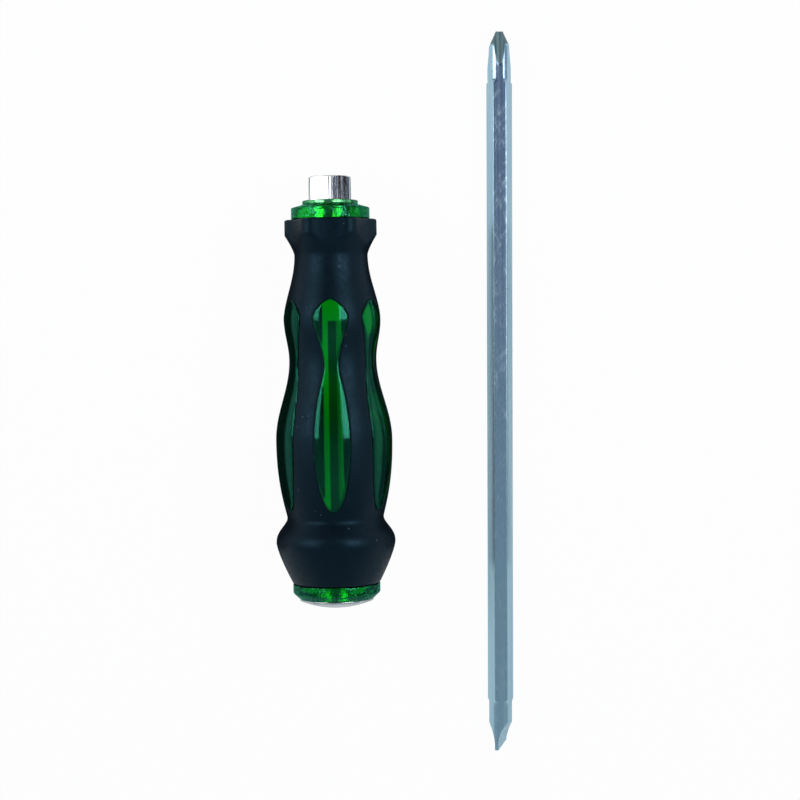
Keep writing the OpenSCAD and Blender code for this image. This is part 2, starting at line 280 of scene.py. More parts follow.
# %% Start a finish
def start_finish(name):
    """A new node material, its tree, its Principled shader and the Object coordinates."""
    material = bpy.data.materials.new(name)
    material.use_nodes = True
    tree = material.node_tree
    place = add_node(tree, "ShaderNodeTexCoord").outputs["Object"]
    return material, tree, tree.nodes["Principled BSDF"], place


def link_to(shader, **sockets):
    """Link sockets to the shader's inputs, whose names have their spaces written as underscores."""
    for key, socket in sockets.items():
        shader.id_data.links.new(socket, shader.inputs[key.replace("_", " ")])


def bump(height, strength, depth_mm):
    """A normal from a height, for a relief of that depth."""
    inputs = {"Height": height, "Strength": strength, "Distance": depth_mm * MM}
    return add_node(height.id_data, "ShaderNodeBump", inputs).outputs["Normal"]


def mix_shaders(share, first, second):
    """Mix two shaders by a share from 0 to 1."""
    inputs = {0: share, 1: first.outputs[0], 2: second.outputs[0]}
    return add_node(first.id_data, "ShaderNodeMixShader", inputs)


def show(shader, place="Surface"):
    """Let the material show a shader, on its surface or in its volume."""
    tree = shader.id_data
    tree.links.new(shader.outputs[0], tree.nodes["Material Output"].inputs[place])


print("finish helpers ready")

# %% Black rubber
RUBBER_LOW, RUBBER_HIGH = (0.0008, 0.0024, 0.0062, 1), (0.0016, 0.0042, 0.0092, 1)
RUBBER_SATIN = (0.36, 0.52)
# Plain black where the rubber is bonded, seen through the plastic, and painted shade where it is seen in a
# mirror.
BONDED_AND_PAINTED_SHADE_BLACK = (0.001, 0.002, 0.003, 1)
DUST_COLOR, DUST_SHARE = (0.20, 0.26, 0.30, 1), 0.25


def make_rubber():
    """Near-black blue rubber: satin, with a fine mould grain, uneven gloss and a little dust. Where it is
    bonded to the clear plastic it has no surface of its own to shine, so it is plain black to rays that come
    through plastic. To rays from a mirror it is plain black too, without sheen: painted shade."""
    material, tree, shader, place = start_finish("black_rubber")
    grain = use_group(moulded_grain, place, Scale=2600.0)
    dust = use_group(dust_specks, place, Scale=700.0, Amount=0.05, Size=0.16)
    color = blend(grain["Patches"], RUBBER_LOW, RUBBER_HIGH)
    color = blend(times(dust["Mask"], DUST_SHARE), color, DUST_COLOR)
    roughness = spread(grain["Mottle"], 0.0, 1.0, *RUBBER_SATIN)
    link_to(shader, Base_Color=color, Roughness=roughness,
            Normal=bump(grain["Mottle"], strength=0.35, depth_mm=0.012))
    shader.inputs["Specular IOR Level"].default_value = 0.34
    shader.inputs["Specular Tint"].default_value = (0.30, 0.72, 1.0, 1)
    path = add_node(tree, "ShaderNodeLightPath").outputs
    # Painted shade: rays from a mirror, like rays through the plastic, see the rubber plain black.
    bonded = math_node("MAXIMUM", path["Is Transmission Ray"], path["Is Glossy Ray"])
    black = add_node(tree, "ShaderNodeBsdfDiffuse", {"Color": BONDED_AND_PAINTED_SHADE_BLACK})
    show(mix_shaders(bonded, shader, black))
    return material


rubber = make_rubber()
print("finish:", rubber.name)

# %% Clear green plastic
GREEN_ABSORB, GREEN_DENSITY = (0.0, 0.835, 0.04, 1.0), 420.0
GREEN_LOW, GREEN_HIGH = (0.55, 0.98, 0.62, 1), (0.62, 1.0, 0.70, 1)
GREEN_POLISH, GREEN_DULLED = (0.13, 0.2), 0.1
GREEN_IOR, SKIN_IOR, SKIN_SHARE = 1.49, 1.8, 0.8
SKIN_CLEAR, CLEAR_ROUGH = (0.8, 1, 0.85, 1), 0.1
SKIN_MIRROR, MIRROR_ROUGH = (0.08, 0.90, 0.56, 1.0), 0.12
WAVE_SCALE, WAVE_DEEP, WAVE_STRENGTH = 700.0, 0.5, 0.8
WAVE_MIDDLE, WAVE_FROM, WAVE_TO = -2.0, 34.0, 40.0


def make_clear_green():
    """Slightly cloudy polished plastic whose depth takes out red and blue. Faint patches and scratches dull
    it, and it is wavy at both ends, where it shrank round the steel. Most of its surface is a teal skin:
    clear where it faces the eye and, by Fresnel's share, a mirror where it turns away."""
    material, tree, shader, place = start_finish("clear_green")
    grain = use_group(moulded_grain, place, Scale=1500.0)
    scratches = use_group(stray_scratches, place, Scale=420.0, Amount=0.5)
    color = blend(grain["Patches"], GREEN_LOW, GREEN_HIGH)
    polish = spread(grain["Patches"], 0.0, 1.0, *GREEN_POLISH)
    roughness = math_node("ADD", polish, times(scratches["Mask"], GREEN_DULLED))
    away = off_middle(split(place)["Y"], WAVE_MIDDLE * MM)
    at_ends = spread(away, WAVE_FROM * MM, WAVE_TO * MM)
    waves = times(noise_value(place, WAVE_SCALE, Detail=2.0), at_ends)
    wavy = bump(waves, WAVE_STRENGTH, WAVE_DEEP)
    link_to(shader, Base_Color=color, Roughness=roughness, Normal=wavy)
    shader.inputs["Specular Tint"].default_value = (0.30, 0.90, 0.80, 1)
    shader.inputs["IOR"].default_value = GREEN_IOR
    shader.inputs["Transmission Weight"].default_value = 1.0
    clear = add_node(tree, "ShaderNodeBsdfRefraction",
                     {"Color": SKIN_CLEAR, "Roughness": CLEAR_ROUGH, "IOR": GREEN_IOR, "Normal": wavy})
    teal = add_node(tree, "ShaderNodeBsdfGlossy",
                    {"Color": SKIN_MIRROR, "Roughness": MIRROR_ROUGH, "Normal": wavy})
    turned_away = add_node(tree, "ShaderNodeFresnel", {"IOR": SKIN_IOR}).outputs[0]
    skin = mix_shaders(turned_away, clear, teal)
    show(mix_shaders(SKIN_SHARE, shader, skin))
    depth = add_node(tree, "ShaderNodeVolumeAbsorption", {"Color": GREEN_ABSORB, "Density": GREEN_DENSITY})
    show(depth, "Volume")
    return material


clear_green = make_clear_green()
print("finish:", clear_green.name)

# %% The four steels
SOFT_EDGE = 0.5
RIGHT_FROM, RIGHT_TO = 0.0, 0.3
# Where and how much the steel is scratched, and on the blade how much painted shade its upper faces take.
UP_FROM, UP_TO, SIDE_WEAR_AND_SHADE = 0.7, 0.95, 0.1
WEAR_AND_SHADE_BACK, WEAR_AND_SHADE_AHEAD, BACK_WEAR_AND_SHADE = -50.0, 60.0, 0.25
MARK_SCALE, MARK_SHARE, RELIEF_DEEP = 700.0, 0.85, 0.01
# Painted shade: a dark violet blue laid on the blade's faces that look up.
PAINTED_TOP_SHADE, PAINTED_TOP_SHADE_SHARE = (0.20, 0.28, 0.46, 1), 0.75
FLUTE_X, FLUTE_Z, FLUTE_Y, FLUTE_FADE = 29.0 * MM, 3.0 * MM, 85.0 * MM, 1.5 * MM
FLUTE_DEEP, FLUTE_RIM, FLUTE_ROUGH = 2.75 * MM, 2.95 * MM, 0.25


def flute_share(place):
    """1 deep in the cross tip, near the blade's own axis, and 0 on its outside."""
    parts = split(place)
    aside = math_node("SUBTRACT", parts["X"], FLUTE_X)
    above = math_node("SUBTRACT", parts["Z"], FLUTE_Z)
    square = math_node("ADD", times(aside, aside), times(above, above))
    near = spread(square, FLUTE_DEEP ** 2, FLUTE_RIM ** 2, 1.0, 0.0)
    return times(near, spread(parts["Y"], FLUTE_Y, FLUTE_Y + FLUTE_FADE))


def wear_and_top_shade_share(place, upward, most):
    """How worn a place is, and on the blade how much painted shade it takes: up to a given most where the
    face looks up, and less towards the back.
    """
    ahead = split(place)["Y"]
    wear_and_top_shade = spread(ahead, WEAR_AND_SHADE_BACK * MM, WEAR_AND_SHADE_AHEAD * MM, BACK_WEAR_AND_SHADE * most, most)
    return times(wear_and_top_shade, spread(upward, UP_FROM, UP_TO, SIDE_WEAR_AND_SHADE, 1.0))


def make_steel(name, light, dark, mark, gloss, across, along, wear_and_top_shade, relief, edge=SOFT_EDGE, dull=None):
    """Metal that goes between two colours and two roughnesses along its drawn lines. A small edge makes the
    lines hard and keeps them to the faces that look right, where their dark colour is painted shade; faces
    that look left keep the light colour. Scratches of a third colour lie where it is worn.
    Where a dull colour is given, it lies deep in the flutes, and the faces that look up, most towards the
    front, get a painted shade of dark violet blue."""
    material, tree, shader, place = start_finish(name)
    facing = split(add_node(tree, "ShaderNodeTexCoord").outputs["Normal"])
    lines = use_group(drawn_lines, place, Across=across, Along=along)["Lines"]
    lines = spread(lines, NOISE_MIDDLE - edge, NOISE_MIDDLE + edge)
    # Painted shade: faces that look left are held at the light colour, so only faces that look right get
    # dark streaks.
    if edge < SOFT_EDGE:
        left_faces_unshaded = spread(facing["X"], RIGHT_FROM, RIGHT_TO, 1.0, 0.0)
        lines = math_node("MAXIMUM", lines, left_faces_unshaded)
    # This share sets the scratches, and on the blade also the painted shade of the faces that look up.
    worn = wear_and_top_shade_share(place, facing["Z"], wear_and_top_shade)
    scratches = use_group(stray_scratches, place, Scale=MARK_SCALE, Amount=worn)["Mask"]
    color = blend(lines, dark, light)
    # Painted shade: the faces that look up turn dark violet blue, most towards the front.
    if dull:
        color = blend(times(worn, PAINTED_TOP_SHADE_SHARE), color, PAINTED_TOP_SHADE)
    color = blend(times(scratches, MARK_SHARE), color, mark)
    roughness = spread(lines, 0.0, 1.0, gloss[1], gloss[0])
    if dull:
        deep = flute_share(place)
        color = blend(deep, color, dull)
        roughness = math_node("ADD", roughness, times(deep, FLUTE_ROUGH))
    height = math_node("SUBTRACT", lines, scratches)
    link_to(shader, Base_Color=color, Roughness=roughness, Normal=bump(height, relief, RELIEF_DEEP))
    shader.inputs["Metallic"].default_value = 1.0
    return material


# The socket's near-black streak colour, kept to its right faces, is painted shade along drawn lines.
bright_plate = make_steel(
    "bright_plate", (0.90, 0.90, 0.88, 1), (0.03, 0.03, 0.035, 1), (0.60, 0.62, 0.62, 1),
    gloss=(0.06, 0.18), across=1500.0, along=40.0, wear_and_top_shade=0.3, relief=0.5, edge=0.2)
cap_plate = make_steel(
    "cap_plate", (0.92, 0.92, 0.90, 1), (0.60, 0.61, 0.61, 1), (0.70, 0.72, 0.72, 1),
    gloss=(0.20, 0.32), across=600.0, along=300.0, wear_and_top_shade=0.3, relief=0.2)
# The blade's faces that look up get a painted shade of violet blue.
blade_plate = make_steel(
    "blade_plate", (0.68, 0.93, 1.00, 1), (0.42, 0.66, 0.80, 1), (0.72, 0.93, 1.00, 1),
    gloss=(0.22, 0.34), across=1700.0, along=18.0, wear_and_top_shade=1.0, relief=0.3, dull=(0.20, 0.30, 0.32, 1))
bar_steel = make_steel(
    "bar_steel", (0.46, 0.47, 0.48, 1), (0.36, 0.37, 0.38, 1), (0.70, 0.72, 0.74, 1),
    gloss=(0.14, 0.24), across=900.0, along=40.0, wear_and_top_shade=0.4, relief=0.12)
print("finishes:", bright_plate.name, cap_plate.name, blade_plate.name, bar_steel.name)

# %% [markdown]
# From formulas to meshes
#
# A piece is a few patches, and a patch is a grid of points: one array with a row for each station along the
# piece and a column for each angle round it. Where patches meet they share the same points, so welding the
# doubles closes the piece. A pole, where a row shrinks to one point, is closed by the same weld.

# %% Weld patches into a piece
WELD_M = 1e-6
SHARP_ANGLE = math.radians(32)


def grid_quads(rows, columns):
    """The four corners of each cell of a grid of points, row by row, as point numbers."""
    number = np.arange(rows * columns).reshape(rows, columns)
    cells = np.stack([number[:-1, :-1], number[:-1, 1:], number[1:, 1:], number[1:, :-1]], axis=-1)
    return cells.reshape(-1, 4)


def fill_mesh(mesh, patches):
    """Put the points (in mm) and cells of all patches into one mesh, each patch after the one before."""
    points = np.concatenate([patch.reshape(-1, 3) for patch in patches]) * MM
    starts = np.cumsum([0] + [patch.shape[0] * patch.shape[1] for patch in patches])
    quads = np.concatenate([grid_quads(*patch.shape[:2]) + start for patch, start in zip(patches, starts)])
    mesh.vertices.add(len(points))
    mesh.vertices.foreach_set("co", points.astype(np.float32).ravel())
    mesh.loops.add(quads.size)
    mesh.loops.foreach_set("vertex_index", quads.astype(np.int32).ravel())
    mesh.polygons.add(len(quads))
    mesh.polygons.foreach_set("loop_start", np.arange(0, quads.size, 4, dtype=np.int32))
    mesh.update(calc_edges=True)


def weld(mesh):
    """Merge doubles, drop cells that shrank to nothing and turn all faces outwards."""
    shape = bmesh.new()
    shape.from_mesh(mesh)
    bmesh.ops.remove_doubles(shape, verts=shape.verts, dist=WELD_M)
    bmesh.ops.dissolve_degenerate(shape, edges=shape.edges, dist=WELD_M)
    bmesh.ops.recalc_face_normals(shape, faces=shape.faces)
    shape.to_mesh(mesh)
    shape.free()


def count_open_edges(mesh):
    """How many edges don't have exactly two faces. A closed piece has none."""
    edge_of_loop = np.empty(len(mesh.loops), dtype=np.int32)
    mesh.loops.foreach_get("edge_index", edge_of_loop)
    return int(np.count_nonzero(np.bincount(edge_of_loop, minlength=len(mesh.edges)) != 2))


def make_piece(name, patches, body, slot, material, *nodes):
    """Weld the patches into a smooth piece that rides on a body and stands for the named nodes."""
    mesh = bpy.data.meshes.new(name)
    fill_mesh(mesh, patches)
    weld(mesh)
    mesh.shade_smooth()
    mesh.set_sharp_from_angle(angle=SHARP_ANGLE)
    mesh.materials.append(material)
    piece = add_object(name, mesh)
    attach(piece, body)
    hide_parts(*nodes)
    print(name, "faces:", len(mesh.polygons), "open edges:", count_open_edges(mesh))


print("mesh helpers ready")

# %% [markdown]
# The handle's own measure
#
# Everything on the handle is measured along its axis, from the top of the cap's dome to the front of the
# socket, and by the angle from straight up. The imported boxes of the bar, cap, core, grip and socket give
# that axis and the stations where pieces meet. The lengths and radii of the swells are the solids' own.

# %% Stations of the handle
bar_low, bar_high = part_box("strike_bar")
cap_low, cap_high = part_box("strike_cap")
core_low, core_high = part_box("handle_core")
grip_low, grip_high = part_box("rubber_grip")
socket_low, socket_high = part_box("hex_socket")

AXIS_X = (bar_low.x + bar_high.x) / 2 / MM
AXIS_Z = (bar_low.z + bar_high.z) / 2 / MM
TAIL_Y = cap_low.y / MM


def station(y):
    """Distance in mm along the handle's axis, from the top of the cap's dome to a place y in metres."""
    return y / MM - TAIL_Y


bar_z, anvil_z = station(bar_low.y), station(bar_high.y)
tail_z, disc_z = station(core_low.y), station(core_high.y)
grip_z, grip_end_z = station(grip_low.y), station(grip_high.y)
sleeve_z, nose_z = station(socket_low.y), station(socket_high.y)
stem_end_z = station(cap_high.y)
BAR_HALF_X, BAR_HALF_Z = (bar_high.x - bar_low.x) / 2 / MM, (bar_high.z - bar_low.z) / 2 / MM
CAP_R = (cap_high.x - cap_low.x) / 2 / MM

guard_z = grip_z + 10.75
guard_waist_z = guard_z + 6.85
palm_z = guard_waist_z + 20.2
waist_z = palm_z + 21.0
finger_z = waist_z + 10.6
neck_z = finger_z + 17.0
collar_z = neck_z + 5.1
foot_z = guard_waist_z + 2.1
belly_z = palm_z + 0.5
pinch_z = waist_z - 2.0
head_z = finger_z + 0.6
point_z = head_z + 4.5
print("stations in mm:", [round(z, 2) for z in (tail_z, grip_z, guard_z, palm_z, waist_z, finger_z, nose_z)])


def on_handle(z, r, angle):
    """Points at station z, at distance r from the axis and at an angle from straight up towards +X."""
    z, r, angle = np.broadcast_arrays(z, r, angle)
    return np.stack([AXIS_X + r * np.sin(angle), TAIL_Y + z, AXIS_Z + r * np.cos(angle)], axis=-1)


# %% [markdown]
# The swells of the grip
#
# A hand grip is a row of swells and waists. Each stretch between two of them is a smooth step of the radius,
# so the whole side is one formula, piece by piece along the axis. The six windows are worked out in the same
# way, as half a width at each station.

# %% The side of the grip and the outline of a window
SIDES = 6
TURN = 2 * math.pi / SIDES
RUBBER_T = 2.0
TAIL_R, GUARD_R, GUARD_WAIST_R, PALM_R = 11.4, 15.7, 12.65, 15.3
WAIST_R, FINGER_R, NECK_R, COLLAR_R = 11.46, 12.7, 9.62, 12.1
TAIL_POWER, GUARD_POWER, PALM_POWER, NECK_POWER, COLLAR_POWER = 1.3, 1.26, 2.2, 0.9, 1.3
BELLY_HALF, PINCH_HALF, HEAD_HALF = 4.66, 1.92, 4.54
BELLY_POWER, HEAD_POWER, POINT_POWER = 0.65, 0.77, 1.5
VALLEY_SOFT = 0.1


def mix(start, end, share):
    """The value that lies the given share of the way from start to end."""
    return start + (end - start) * share


def ease(share):
    """A smooth step: half of one minus the cosine of the share of a half turn."""
    return (1 - np.cos(np.pi * np.clip(share, 0, 1))) / 2


def part_way(z, start, end):
    """The share of the way from station start to station end, held between 0 and 1."""
    return np.clip((z - start) / (end - start), 0, 1)


def soft_min(first, second, soft):
    """The smaller of two values with a soft corner: minus the log of the sum of their falling powers."""
    return -soft * np.logaddexp(-first / soft, -second / soft)


def grip_r(z):
    """Radius of the grip's side: smooth steps between its swells, sharper at the tail, guard and collar. In
    front of the guard, its slope and the palm's curve meet in a soft valley."""
    guard = mix(GUARD_R, GUARD_WAIST_R, ease(part_way(z, guard_z, guard_waist_z) ** GUARD_POWER))
    palm_share = np.maximum(palm_z - z, 0) / (palm_z - guard_waist_z)
    palm = mix(PALM_R, GUARD_WAIST_R, palm_share ** PALM_POWER)
    stretches = [
        (guard_z, mix(GUARD_R, TAIL_R, part_way(z, guard_z, grip_z) ** TAIL_POWER)),
        (palm_z, -soft_min(-guard, -palm, VALLEY_SOFT)),
        (waist_z, mix(PALM_R, WAIST_R, ease(part_way(z, palm_z, waist_z)))),
        (finger_z, mix(WAIST_R, FINGER_R, ease(part_way(z, waist_z, finger_z)))),
        (neck_z, mix(FINGER_R, NECK_R, ease(part_way(z, finger_z, neck_z) ** NECK_POWER))),
        (math.inf, mix(NECK_R, COLLAR_R, part_way(z, neck_z, collar_z) ** COLLAR_POWER)),
    ]
    return np.select([z < end for end, radius in stretches], [radius for end, radius in stretches])


def core_r(z):
    """Radius of the core below the rubber: the grip's side less its thickness, straight under both ends."""
    return grip_r(np.clip(z, guard_waist_z, neck_z)) - RUBBER_T


def window_half(z):
    """Half the width of a window: an elliptic foot, smooth steps to the pinch and head, a round point."""
    foot = BELLY_HALF * np.sqrt(1 - part_way(z, belly_z, foot_z) ** 2)
    belly = mix(PINCH_HALF, BELLY_HALF, ease(part_way(z, pinch_z, belly_z) ** BELLY_POWER))
    head = mix(HEAD_HALF, PINCH_HALF, ease(part_way(z, head_z, pinch_z) ** HEAD_POWER))
    point = HEAD_HALF * (1 - part_way(z, head_z, point_z) ** POINT_POWER) ** (1 / POINT_POWER)
    return np.select([z < belly_z, z < pinch_z, z < head_z], [foot, belly, head], point)


def edge_drop(distance, radius):
    """How far a rounded edge lies below the full surface, at a distance from it: a quarter circle."""
    inside = np.clip(distance, 0, radius)
    return radius - np.sqrt(radius ** 2 - (radius - inside) ** 2)


def to_nearest(angle, turn):
    """The angle to the nearest of evenly spaced directions: what is left of whole turns, on either side."""
    return (angle + turn / 2) % turn - turn / 2


def around(columns):
    """A row of angles once round an axis, whose last column lies on its first."""
    return np.linspace(0, 2 * math.pi, columns + 1)[None, :]


def stretch(start, end, count):
    """Evenly spaced stations from start up to, but without, end."""
    return np.linspace(start, end, count, endpoint=False)


print("largest radius in mm:", round(float(grip_r(np.linspace(grip_z, grip_end_z, 500)).max()), 2))

# %% [markdown]
# The rubber grip
#
# On the real tool the rubber is moulded over the core and leaves six windows. A tube with cut holes would
# have jagged edges, so the rubber is made as six ribs. A rib runs from one window's edge to the next, which
# puts a row of points along each edge and lets the lip be rounded. In front of the windows and behind them
# the ribs meet and weld into one sleeve. The rubber is bonded to the core: it reaches a hair into the clear
# plastic, and light inside that meets it ends in the black.

# %% Shape of the rubber
GUARD_FLAT = 15.45
COLLAR_FLAT, HOLLOW_R = 10.4, 20.0
GUARD_SOFT, COLLAR_SOFT = 0.05, 0.16
LIP_ROUND, END_ROUND = 0.4, 0.5
BOND = 0.06
FAR = 99.0
NEAR_EDGE = np.array([0.0, 0.1, 0.3, 0.6])
RIB_COLUMNS = 16

grip_rows = np.concatenate([
    grip_z + END_ROUND * (1 - np.cos(stretch(0, math.pi / 2, 5))),
    stretch(grip_z + END_ROUND, guard_z, 14),
    stretch(guard_z, guard_waist_z, 14),
    stretch(guard_waist_z, foot_z, 3),
    mix(belly_z, foot_z, np.cos(stretch(0, math.pi / 2, 34))),
    stretch(belly_z, pinch_z, 26),
    stretch(pinch_z, head_z, 20),
    mix(head_z, point_z, np.sin(stretch(0, math.pi / 2, 22))),
    stretch(point_z, neck_z, 14),
    stretch(neck_z, collar_z, 12),
    stretch(collar_z, grip_end_z - END_ROUND, 6),
    grip_end_z - END_ROUND * np.cos(np.linspace(0, math.pi / 2, 6)),
])[:, None]


def grip_surface(z, angle):
    """Outer radius of the rubber: its side, held in by flats on the guard and by hollows on the collar."""
    facing = to_nearest(angle, TURN)
    flat = np.where(z < guard_waist_z, GUARD_FLAT / np.cos(facing), FAR)
    reach = COLLAR_FLAT + HOLLOW_R
    hollow = reach * np.cos(facing) - np.sqrt(HOLLOW_R ** 2 - (reach * np.sin(facing)) ** 2)
    hollow = np.where(z > neck_z, hollow, FAR)
    side = soft_min(soft_min(grip_r(z), flat, GUARD_SOFT), hollow, COLLAR_SOFT)
    ends = edge_drop(z - grip_z, END_ROUND) + edge_drop(grip_end_z - z, END_ROUND)
    return side - ends


def across(length, edge, count):
    """Distances across a strip of a length: a few close to each edge, the rest evenly between them."""
    near = edge * NEAR_EDGE
    middle = mix(edge, length - edge, np.linspace(0, 1, count))
    return np.concatenate([near + 0 * length, middle, (length - near)[:, ::-1]], axis=1)


def rib_patches(number):
    """One rib: its outer and inner skin, the two ends, and the walls along the two windows beside it."""
    z = grip_rows
    half = window_half(z)
    edge_angle = np.arcsin(half / grip_r(z))
    width = (TURN - 2 * edge_angle) * grip_r(z)
    step = across(width, LIP_ROUND, RIB_COLUMNS)
    angle = number * TURN + edge_angle + step / grip_r(z)
    lip = edge_drop(np.minimum(step, width - step), LIP_ROUND) * np.clip(half / LIP_ROUND, 0, 1)
    outer = on_handle(z, grip_surface(z, angle) - lip, angle)
    inner = on_handle(z, core_r(z) - BOND, angle)
    opened = np.flatnonzero(half[:, 0] > 0)
    rows = slice(opened[0] - 1, opened[-1] + 2)
    walls = [np.stack([outer[rows, side], inner[rows, side]], axis=1) for side in (0, -1)]
    ends = [np.stack([outer[row], inner[row]]) for row in (0, -1)]
    return [outer, inner, *walls, *ends]


grip_patches = [patch for number in range(SIDES) for patch in rib_patches(number)]
make_piece("grip_rubber", grip_patches, "handle", "black_rubber", rubber, "rubber_grip")

# %% [markdown]
# The clear core
#
# The core is one clear moulding: a tail stub, a spool under the rubber, six raised pads in the windows and a
# stepped nose. Turning one profile would leave out the pads, so the profile is carried round the axis in
# strips that follow the window edges, and the strips on a pad are lifted to its own radius. Steel that is
# moulded in reaches a hair into the plastic, so that light inside the core meets the steel itself.

# %% Shape of the core
PAD_RISE, PAD_ROUND = 0.15, 0.35
TAIL_FACE_R, STUB_R, SHOULDER_LEN = 9.9, 11.5, 1.55
FLANGE_R, FLANGE_LEN, FLANGE_SLOPE = 10.3, 3.9, 0.9
RELIEF_R, SLEEVE_R, DISC_R = 6.32, 5.82, 7.30
SEAT_LEN, ROUND_LEN = 2.0, 8.7
BORE_FLAT, CORE_BORE_FLAT, BORE_END = 3.1, 3.15, 0.4
STEM_R = 5.0
MOULD_ROUND = 0.25
ARC_SHARE, ARC_POINTS, PAD_EDGE_SHARE = 0.45, 5, 0.3
PAD_COLUMNS, SPOOL_COLUMNS, BORE_COLUMNS = 9, 13, 12 * SIDES

flange_z = grip_end_z + FLANGE_LEN
seat_z = disc_z - SEAT_LEN
round_z = seat_z - ROUND_LEN
stub_z = tail_z + SHOULDER_LEN


def rounded(points, radius):
    """An outline whose corners become arcs: quadratic curves that start and end at the given distance from
    the corner, or less where its neighbour is close, and are pulled by the corner itself."""
    points = np.asarray(points, dtype=float)
    corner, before, after = points[1:-1], points[:-2], points[2:]
    back, ahead = before - corner, after - corner
    back_len = np.linalg.norm(back, axis=1, keepdims=True)
    ahead_len = np.linalg.norm(ahead, axis=1, keepdims=True)
    start = corner + back / back_len * np.minimum(radius, back_len * ARC_SHARE)
    end = corner + ahead / ahead_len * np.minimum(radius, ahead_len * ARC_SHARE)
    t = np.linspace(0, 1, ARC_POINTS)[None, :, None]
    arcs = (1 - t) ** 2 * start[:, None] + 2 * t * (1 - t) * corner[:, None] + t ** 2 * end[:, None]
    return np.concatenate([points[:1], arcs.reshape(-1, 2), points[-1:]])


tail_outline = rounded([
    (0, stem_end_z - BOND), (STEM_R - BOND, stem_end_z - BOND), (STEM_R - BOND, tail_z),
    (TAIL_FACE_R, tail_z), (STUB_R, stub_z), (STUB_R, grip_z), (core_r(np.array(grip_z)), grip_z),
], MOULD_ROUND)
nose_outline = rounded([
    (core_r(np.array(grip_end_z)), grip_end_z), (FLANGE_R, grip_end_z), (FLANGE_R, flange_z - FLANGE_SLOPE),
    (DISC_R, flange_z), (DISC_R, disc_z), (RELIEF_R - BOND, disc_z), (RELIEF_R - BOND, seat_z + BOND),
    (SLEEVE_R - BOND, seat_z + BOND), (SLEEVE_R - BOND, round_z),
], MOULD_ROUND)
spool_rows = grip_rows[1:-1, 0]
spool_outline = np.column_stack([core_r(spool_rows), spool_rows])
print("core outline points:", len(tail_outline) + len(spool_outline) + len(nose_outline))

# %% Carry the core's outline round the axis
def hexagon_r(flat, angle):
    """Distance from the axis to a hexagon's side: its flat's distance over the cosine of the angle to it."""
    return flat / np.cos(to_nearest(angle, TURN))


def core_strip(number, r, z):
    """One sixth of the core: a pad's strip lifted to the pad's radius, then a rib's strip on the spool."""
    half = window_half(z) * (r < grip_r(z))
    half_angle = np.arcsin(half / grip_r(z))
    width = 2 * half_angle * grip_r(z)
    edge = np.minimum(PAD_ROUND, width * PAD_EDGE_SHARE)
    step = across(width, edge, PAD_COLUMNS)
    drop = edge_drop(np.minimum(step, width - step), PAD_ROUND)
    pad_r = np.where(half > 0, grip_r(z) + PAD_RISE - drop, r)
    pad_angle = number * TURN - half_angle + step / grip_r(z)
    rib_angle = number * TURN + half_angle + (TURN - 2 * half_angle) * np.linspace(0, 1, SPOOL_COLUMNS)
    return on_handle(z, np.hstack([pad_r, r + 0 * rib_angle]), np.hstack([pad_angle, rib_angle]))


def core_patches():
    """Six strips of the whole outline, the hexagonal pocket of the sleeve and the bore on to the stem."""
    outline = np.concatenate([tail_outline, spool_outline, nose_outline])
    r, z = outline[:, :1], outline[:, 1:]
    strips = [core_strip(number, r, z) for number in range(SIDES)]
    angle = around(BORE_COLUMNS)
    sleeve = hexagon_r((SLEEVE_R - BOND) * math.cos(TURN / 2), angle)
    bore = hexagon_r(CORE_BORE_FLAT, angle)
    pocket_r = np.concatenate([SLEEVE_R - BOND + 0 * angle, sleeve, sleeve, bore, bore, 0 * angle])
    end_z = stem_end_z + BORE_END
    pocket_z = np.array([round_z, round_z, sleeve_z + BOND, sleeve_z + BOND, end_z, end_z])
    return [*strips, on_handle(pocket_z[:, None], pocket_r, angle)]


make_piece("core_clear", core_patches(), "handle", "clear_green", clear_green, "handle_core")

# %% [markdown]
# The steel in the handle
#
# The socket is a plated sleeve with a spanner hexagon in front, whose corners are just broken, as plating
# leaves them. The cap is a low dome on a stem. The flat bar that carries the blow from the cap to the blade
# stands on edge in the core's bore, so from above it shows as a narrow dark line. All three are outlines
# carried round the axis, and the socket's changes between round and hexagonal on the way.

# %% The socket
NOSE_FLAT, NOSE_BEVEL = 5.5, 0.6
FRONT_SPAN, FRONT_ROWS, FRONT_POWER, FRONT_SOFT = 2.2 * NOSE_BEVEL, 14, 1.3, 0.02
BACK_BREAK, BACK_DROP = 0.15, 0.12
CORNER_POWER = 30.0
SOCKET_COLUMNS = 36 * SIDES
LEAD = 0.4
GROOVE_R, GROOVE_HALF, BALL_BACK = 5.1, 0.45, 7.2


def soft_hexagon_r(flat, angle):
    """A hexagon with a broken corner on top: the flats' cosines to a high power, added and rooted again."""
    facing = angle[..., None] - TURN / 2 - TURN * np.arange(SIDES)
    return flat * np.sum(np.maximum(np.cos(facing), 0) ** CORNER_POWER, axis=-1) ** (-1 / CORNER_POWER)


